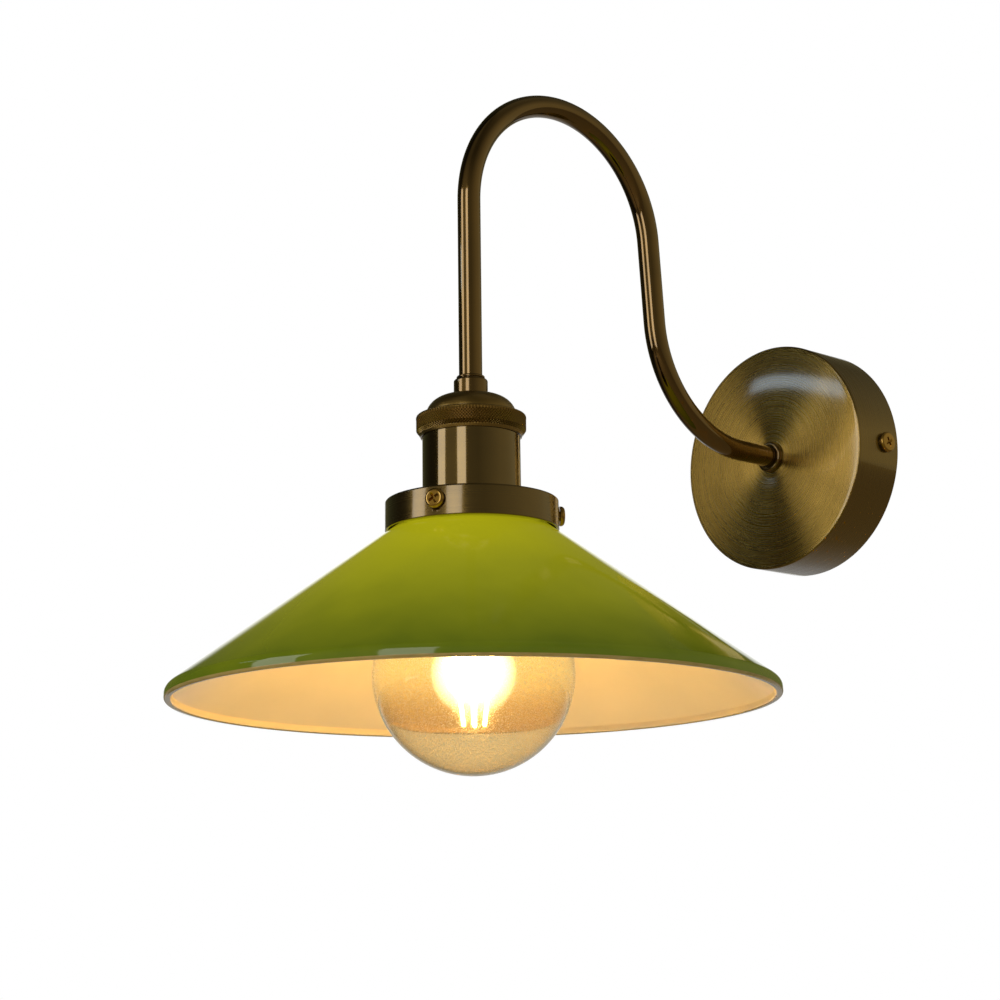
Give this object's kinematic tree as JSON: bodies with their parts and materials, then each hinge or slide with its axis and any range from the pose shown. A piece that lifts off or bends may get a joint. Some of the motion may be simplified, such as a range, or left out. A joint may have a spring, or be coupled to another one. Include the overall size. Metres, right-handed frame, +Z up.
{
  "type": "gooseneck wall sconce",
  "caption": "Gooseneck wall light: round canopy, bent tube arm, knurled lamp holder and screw-held shade gallery carrying a coloured cone glass shade over a globe bulb.",
  "frame": {"origin": "on the wall plane at the centre of the canopy's mouth, midway between the wall bracket's two fixing slots", "axes": "+Y into the wall and -Y out into the room, +Z up, +X to the right for someone in the room facing the wall"},
  "size_m": [0.2408, 0.3284, 0.2928],
  "materials": {
    "canopy_brass": "antique brass, circular brushed and lacquered",
    "arm_brass": "antique brass, polished tube",
    "fitting_brass": "antique brass, turned",
    "cap_brass": "antique brass, knurled",
    "shell_brass": "antique brass, lacquered",
    "gallery_brass": "antique brass, lacquered",
    "screw_brass": "bright brass",
    "zinc_steel": "zinc plated",
    "lock_ring_brass": "antique brass",
    "contact_brass": "plain brass",
    "core_porcelain": "unglazed porcelain",
    "shade_glass": "olive-green cased glass, glossy outside and cream inside",
    "bulb_glass": "clear amber glass",
    "stem_glass": "clear glass",
    "bulb_cap_brass": "rolled sheet",
    "contact_solder": "solder",
    "insulator_glass": "black vitrified glass",
    "stick_phosphor": "light-emitting coating",
    "lead_wire": "drawn wire",
    "driver_board": "circuit board",
    "bushing_plastic": "moulded",
    "pad_plastic": "moulded",
    "block_plastic": "moulded",
    "live_insulation": "heat-resistant sleeve",
    "neutral_insulation": "heat-resistant sleeve",
    "earth_insulation": "heat-resistant sleeve"
  },
  "bodies": {
    "fixture": {"wall_bracket": "zinc_steel", "canopy": "canopy_brass", "arm_tube": "arm_brass", "arm_flange": "fitting_brass", "arm_lock_washer": "zinc_steel", "arm_nut": "zinc_steel", "arm_bushing": "bushing_plastic", "arm_collar": "fitting_brass", "socket_cap": "cap_brass", "cap_lock_washer": "zinc_steel", "cap_nut": "zinc_steel", "socket_shell": "shell_brass", "socket_core": "core_porcelain", "screw_shell": "contact_brass", "contact_anchor": "contact_brass", "socket_terminals": "contact_brass", "terminal_screws": "contact_brass", "shade_gallery": "gallery_brass", "lock_ring": "lock_ring_brass", "glass_shade": "shade_glass", "terminal_block": "block_plastic", "terminal_inserts": "contact_brass", "block_screws": "zinc_steel", "block_fixing_screw": "zinc_steel", "earth_tag": "zinc_steel", "earth_washer": "zinc_steel", "earth_screw": "zinc_steel", "live_wire": "live_insulation", "neutral_wire": "neutral_insulation", "earth_wire": "earth_insulation"},
    "bulb_foot": {"bulb_contact": "contact_solder"},
    "bulb": {"bulb_cap": "bulb_cap_brass", "bulb_globe": "bulb_glass", "bulb_insulator": "insulator_glass", "bulb_stem": "stem_glass", "bulb_sticks": "stick_phosphor", "bulb_leads": "lead_wire", "bulb_driver": "driver_board"},
    "contact_tongue": {"contact_tongue": "contact_brass"},
    "shade_screw_pad_1": {"shade_screw_pad_1": "pad_plastic"},
    "shade_screw_1": {"shade_screw_1": "screw_brass"},
    "shade_screw_pad_2": {"shade_screw_pad_2": "pad_plastic"},
    "shade_screw_2": {"shade_screw_2": "screw_brass"},
    "shade_screw_pad_3": {"shade_screw_pad_3": "pad_plastic"},
    "shade_screw_3": {"shade_screw_3": "screw_brass"},
    "canopy_washer_left": {"canopy_washer_left": "screw_brass"},
    "canopy_screw_left": {"canopy_screw_left": "screw_brass"},
    "canopy_washer_right": {"canopy_washer_right": "screw_brass"},
    "canopy_screw_right": {"canopy_screw_right": "screw_brass"}
  },
  "joints": [
    {"name": "bulb_travel", "type": "slide", "parent": "fixture", "child": "bulb_foot", "axis": [0, 0, -1], "range_m": [0, 0.0218]},
    {"name": "bulb_turn", "type": "hinge", "parent": "bulb_foot", "child": "bulb", "pos_m": [0, -0.208, -0.1146], "axis": [0, 0, -1], "range_deg": [0, 2160]},
    {"name": "contact_flex", "type": "hinge", "parent": "fixture", "child": "contact_tongue", "pos_m": [-0.008, -0.208, -0.0359], "axis": [0, -1, 0], "range_deg": [0, 3], "stiffness_Nm_per_rad": 0.3},
    {"name": "shade_screw_1_travel", "type": "slide", "parent": "fixture", "child": "shade_screw_pad_1", "axis": [0.4195, -0.9078, 0], "range_m": [0, 0.0028]},
    {"name": "shade_screw_1_turn", "type": "hinge", "parent": "shade_screw_pad_1", "child": "shade_screw_1", "pos_m": [0.01468, -0.23977, -0.051], "axis": [0.4195, -0.9078, 0], "range_deg": [0, 1445]},
    {"name": "shade_screw_2_travel", "type": "slide", "parent": "fixture", "child": "shade_screw_pad_2", "axis": [0.5764, 0.8171, 0], "range_m": [0, 0.0028]},
    {"name": "shade_screw_2_turn", "type": "hinge", "parent": "shade_screw_pad_2", "child": "shade_screw_2", "pos_m": [0.02017, -0.1794, -0.051], "axis": [0.5764, 0.8171, 0], "range_deg": [0, 1445]},
    {"name": "shade_screw_3_travel", "type": "slide", "parent": "fixture", "child": "shade_screw_pad_3", "axis": [-0.9959, 0.0906, 0], "range_m": [0, 0.0028]},
    {"name": "shade_screw_3_turn", "type": "hinge", "parent": "shade_screw_pad_3", "child": "shade_screw_3", "pos_m": [-0.03486, -0.20483, -0.051], "axis": [-0.9959, 0.0906, 0], "range_deg": [0, 1445]},
    {"name": "canopy_screw_left_travel", "type": "slide", "parent": "fixture", "child": "canopy_washer_left", "axis": [-1, 0, 0], "range_m": [0, 0.0063]},
    {"name": "canopy_screw_left_turn", "type": "hinge", "parent": "canopy_washer_left", "child": "canopy_screw_left", "pos_m": [-0.0511, -0.0087, 0], "axis": [-1, 0, 0], "range_deg": [0, 3245]},
    {"name": "canopy_screw_right_travel", "type": "slide", "parent": "fixture", "child": "canopy_washer_right", "axis": [1, 0, 0], "range_m": [0, 0.0063]},
    {"name": "canopy_screw_right_turn", "type": "hinge", "parent": "canopy_washer_right", "child": "canopy_screw_right", "pos_m": [0.0511, -0.0087, 0], "axis": [1, 0, 0], "range_deg": [0, 3245]}
  ],
  "couplings": [
    {"joint": "bulb_travel", "follows": "bulb_turn", "m_per_rad": 0.00057757},
    {"joint": "shade_screw_1_turn", "follows": "shade_screw_1_travel", "rad_per_m": 8976},
    {"joint": "shade_screw_2_turn", "follows": "shade_screw_2_travel", "rad_per_m": 8976},
    {"joint": "shade_screw_3_turn", "follows": "shade_screw_3_travel", "rad_per_m": 8976},
    {"joint": "canopy_screw_left_turn", "follows": "canopy_screw_left_travel", "rad_per_m": 8976},
    {"joint": "canopy_screw_right_turn", "follows": "canopy_screw_right_travel", "rad_per_m": 8976}
  ]
}
